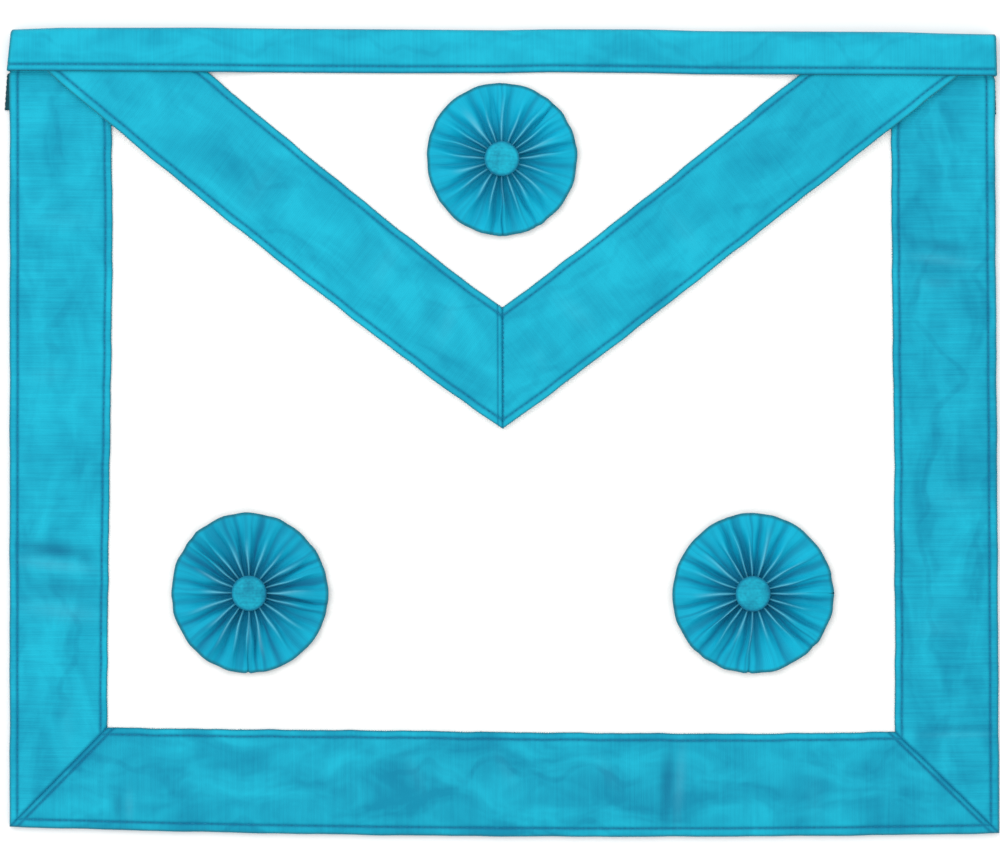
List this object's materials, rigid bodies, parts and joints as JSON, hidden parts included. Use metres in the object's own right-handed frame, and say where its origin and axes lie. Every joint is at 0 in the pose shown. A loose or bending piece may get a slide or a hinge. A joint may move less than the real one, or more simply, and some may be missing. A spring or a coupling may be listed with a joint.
{
  "type": "masonic apron",
  "caption": "White leather lodge apron laid flat, with a moire ribbon border, a V-edged pointed flap, a folded waistband, belt tabs and pleated rosettes with covered buttons.",
  "frame": {"origin": "middle of the laid apron's outline, on the surface that it lies on", "axes": "+Z out of the apron's front, away from the wearer; +Y up towards the waistband; +X to the right for someone facing the front"},
  "size_m": [0.4104, 0.3338, 0.0118],
  "materials": {
    "white_leather": "smooth white leather with a fine grain",
    "turquoise_ribbon": "watered ribbed ribbon with a soft sheen",
    "button_cloth": "ribbon cloth drawn tight over a domed button",
    "dark_webbing": "plain dark woven webbing"
  },
  "bodies": {
    "root": {"panel": "white_leather", "flap": "white_leather", "border_left": "turquoise_ribbon", "border_right": "turquoise_ribbon", "border_bottom": "turquoise_ribbon", "flap_ribbon_left": "turquoise_ribbon", "flap_ribbon_right": "turquoise_ribbon", "waistband": "turquoise_ribbon", "rosette_flap": "turquoise_ribbon", "rosette_left": "turquoise_ribbon", "rosette_right": "turquoise_ribbon", "button_flap": "button_cloth", "button_left": "button_cloth", "button_right": "button_cloth", "belt_tab_left": "dark_webbing", "belt_tab_right": "dark_webbing"}
  },
  "joints": []
}
